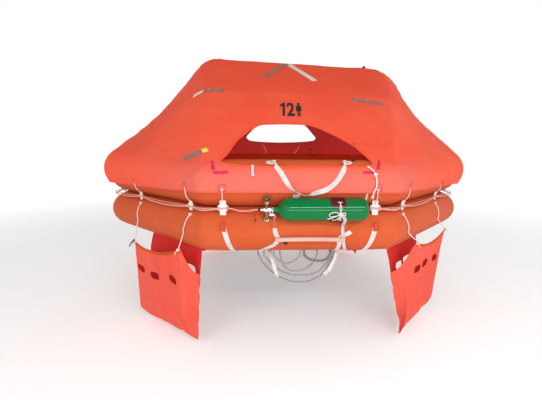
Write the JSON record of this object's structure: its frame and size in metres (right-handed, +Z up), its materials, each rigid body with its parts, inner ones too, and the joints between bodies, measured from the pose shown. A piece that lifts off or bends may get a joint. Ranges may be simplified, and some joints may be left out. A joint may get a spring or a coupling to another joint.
{
  "type": "inflatable life raft",
  "caption": "Octagonal inflatable life raft: two stacked buoyancy tubes, a floor, a canopy on an arch tube with openings front and rear, a gas cylinder, grab lines and hanging water pockets.",
  "frame": {"origin": "in the middle of the ring, at the waterline", "axes": "+Z up; the entrance and the gas cylinder face -Y; +X to the right of someone who faces the entrance"},
  "size_m": [2.9878, 2.9928, 2.1713],
  "materials": {
    "tube": "satin coated fabric, orange",
    "canopy": "coated canopy cloth, orange-red",
    "floor": "matt coated fabric, dark",
    "pocket": "thin coated cloth, coral red",
    "webbing": "woven webbing and braided rope, off-white",
    "cylinder": "gloss green",
    "chrome": "polished",
    "brass": "satin",
    "strap": "dark maroon coated fabric",
    "black_plastic": "black"
  },
  "bodies": {
    "root": {"canopy_arch_tube": "tube", "lower_buoyancy_tube": "tube", "tow_patch": "tube", "upper_buoyancy_tube": "tube", "canopy_front": "canopy", "canopy_rear": "canopy", "canopy_roof": "canopy", "raft_floor": "floor", "ballast_pocket_front_left": "pocket", "ballast_pocket_front_right": "pocket", "ballast_pocket_rear_left": "pocket", "ballast_pocket_rear_right": "pocket", "ballast_pocket_front_left_cord_1": "webbing", "ballast_pocket_front_left_cord_2": "webbing", "ballast_pocket_front_right_cord_1": "webbing", "ballast_pocket_front_right_cord_2": "webbing", "ballast_pocket_rear_left_cord_1": "webbing", "ballast_pocket_rear_left_cord_2": "webbing", "ballast_pocket_rear_right_cord_1": "webbing", "ballast_pocket_rear_right_cord_2": "webbing", "boarding_rung": "webbing", "entrance_strap": "webbing", "firing_line": "webbing", "grab_line_left": "webbing", "grab_line_right": "webbing", "hanging_line_1": "webbing", "hanging_line_2": "webbing", "hanging_line_3": "webbing", "hanging_line_4": "webbing", "hanging_line_5": "webbing", "righting_strap_left": "webbing", "righting_strap_right": "webbing", "rung_strap_left": "webbing", "rung_strap_right": "webbing", "sill_cord": "webbing", "gas_cylinder": "cylinder", "cylinder_valve": "chrome", "inlet_valve_lower": "brass", "inlet_valve_upper": "brass", "cradle_patch_lower": "strap", "cradle_patch_upper": "strap", "canopy_lamp": "black_plastic", "topup_valve_lower": "black_plastic", "topup_valve_upper": "black_plastic"}
  },
  "joints": []
}
